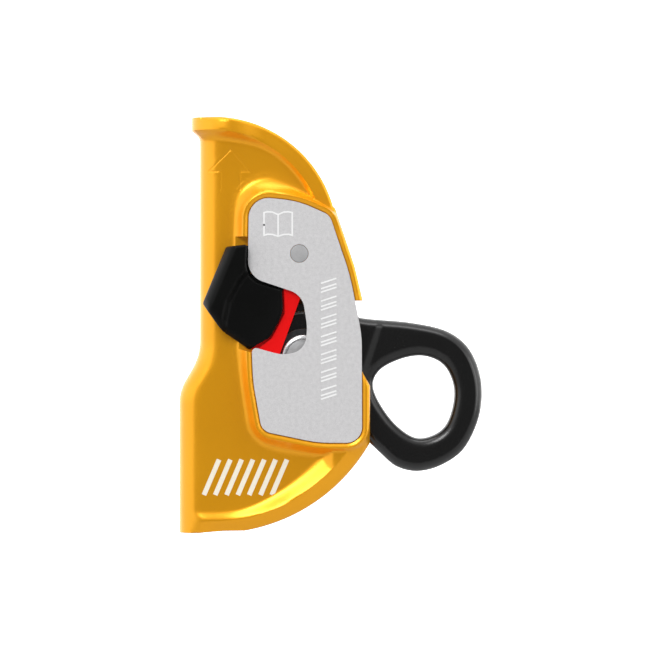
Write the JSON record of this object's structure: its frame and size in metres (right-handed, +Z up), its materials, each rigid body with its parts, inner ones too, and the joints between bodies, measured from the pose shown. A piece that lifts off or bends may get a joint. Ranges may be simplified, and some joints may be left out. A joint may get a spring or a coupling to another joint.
{
  "type": "rope ascender",
  "caption": "Openable rope clamp: a toothed cam on a removable axle pinches the rope against a round channel when its connector eye is pulled down; a sprung catch on each side locks it.",
  "frame": {"origin": "on the rope line of the upper rope channel, level with the cam axle", "axes": "+Z up the rope, +X from the rope channel towards the connector eye, -Y out of the front cover plate"},
  "size_m": [0.0968, 0.0308, 0.1325],
  "materials": {
    "gold_body": "gold anodised, satin",
    "cover": "bead blasted, clear anodised",
    "rivet": "flush turned",
    "red_slider": "smooth moulded",
    "thumb_pad": "fine grain moulded",
    "pins": "ground",
    "spring_wire": "drawn spring wire",
    "axle": "turned stainless steel",
    "runner": "dark grey coated steel",
    "washer": "sliding washer",
    "cam_body": "black anodised forging",
    "bush": "sintered bronze"
  },
  "bodies": {
    "body": {"shell": "gold_body", "front_cover_plate": "cover", "rear_cover_plate": "cover", "front_cover_rivet": "rivet", "rear_cover_rivet": "rivet", "front_spring_post": "pins", "rear_spring_post": "pins", "front_catch_spring": "spring_wire", "rear_catch_spring": "spring_wire"},
    "front_catch": {"front_catch_slider": "red_slider", "front_thumb_pad": "thumb_pad", "front_pad_pin": "pins"},
    "rear_catch": {"rear_catch_slider": "red_slider", "rear_thumb_pad": "thumb_pad", "rear_pad_pin": "pins"},
    "cam_unit": {"cam_axle": "axle", "front_axle_head": "axle", "rear_axle_head": "axle", "front_axle_runner": "runner", "rear_axle_runner": "runner", "front_thrust_washer": "washer", "rear_thrust_washer": "washer"},
    "cam": {"cam": "cam_body", "front_cam_bush": "bush", "rear_cam_bush": "bush", "cam_spring": "spring_wire"}
  },
  "joints": [
    {"name": "front_catch_slide", "type": "slide", "parent": "body", "child": "front_catch", "axis": [-0.9397, 0, 0.342], "range_m": [0, 0.0045], "stiffness_N_per_m": 120, "springref_m": -0.008, "deforming": ["front_catch_spring"]},
    {"name": "rear_catch_slide", "type": "slide", "parent": "body", "child": "rear_catch", "axis": [-0.9397, 0, 0.342], "range_m": [0, 0.0045], "stiffness_N_per_m": 120, "springref_m": -0.008, "deforming": ["rear_catch_spring"]},
    {"name": "cam_unit_slide", "type": "slide", "parent": "body", "child": "cam_unit", "axis": [0.9397, 0, 0.342], "range_m": [0, 0.055]},
    {"name": "cam_pivot", "type": "hinge", "parent": "cam_unit", "child": "cam", "pos_m": [0.0239, 0, 0], "axis": [0, -1, 0], "range_deg": [0, 55], "stiffness_Nm_per_rad": 0.06, "springref_deg": -68.75}
  ]
}
